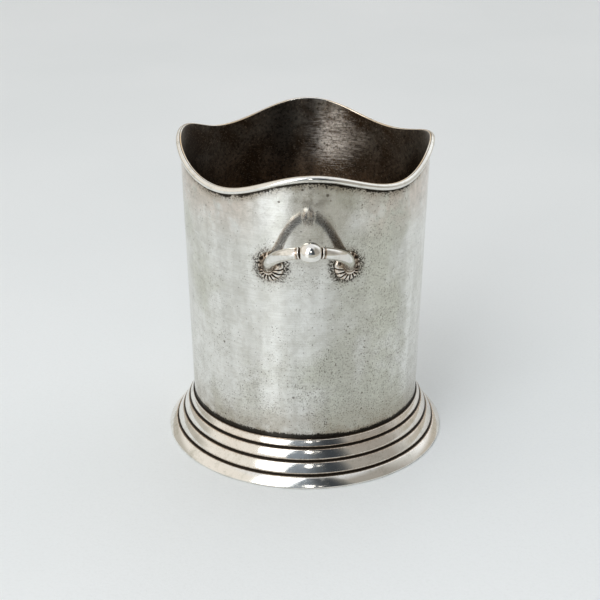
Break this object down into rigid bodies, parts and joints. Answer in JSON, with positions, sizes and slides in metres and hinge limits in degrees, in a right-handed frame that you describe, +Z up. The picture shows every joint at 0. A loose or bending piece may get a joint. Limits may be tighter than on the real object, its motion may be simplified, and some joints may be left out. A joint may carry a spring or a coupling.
{
  "type": "champagne bucket",
  "caption": "Free-standing sheet-metal champagne bucket: slightly flared drum, waved mouth with a rolled rim wire, stepped foot and a raised bow handle with a bead at each end.",
  "frame": {"origin": "on the surface it stands on, under the middle of the foot and midway between the two beads", "axes": "+Z up along the drum's axis, the handles at -Y (front) and +Y (back), +X to the right of the front handle"},
  "size_m": [0.2112, 0.2556, 0.2354],
  "materials": {
    "plated_sheet": "aged silver plate on brass sheet, cloudy and spotted",
    "plated_wire": "worn silver plate, polished by handling",
    "tarnished_floor": "brown-black tarnish",
    "plated_foot": "polished silver plate with black tarnish in its grooves",
    "plated_handle": "polished silver plate with black tarnish in its joints"
  },
  "bodies": {
    "root": {"body_drum": "plated_sheet", "rim_wire": "plated_wire", "floor_disc": "tarnished_floor", "stepped_foot": "plated_foot", "front_bead": "plated_handle", "front_left_boss": "plated_handle", "front_left_arm": "plated_handle", "front_left_collar": "plated_handle", "front_right_boss": "plated_handle", "front_right_arm": "plated_handle", "front_right_collar": "plated_handle", "back_bead": "plated_handle", "back_left_boss": "plated_handle", "back_left_arm": "plated_handle", "back_left_collar": "plated_handle", "back_right_boss": "plated_handle", "back_right_arm": "plated_handle", "back_right_collar": "plated_handle"}
  },
  "joints": []
}
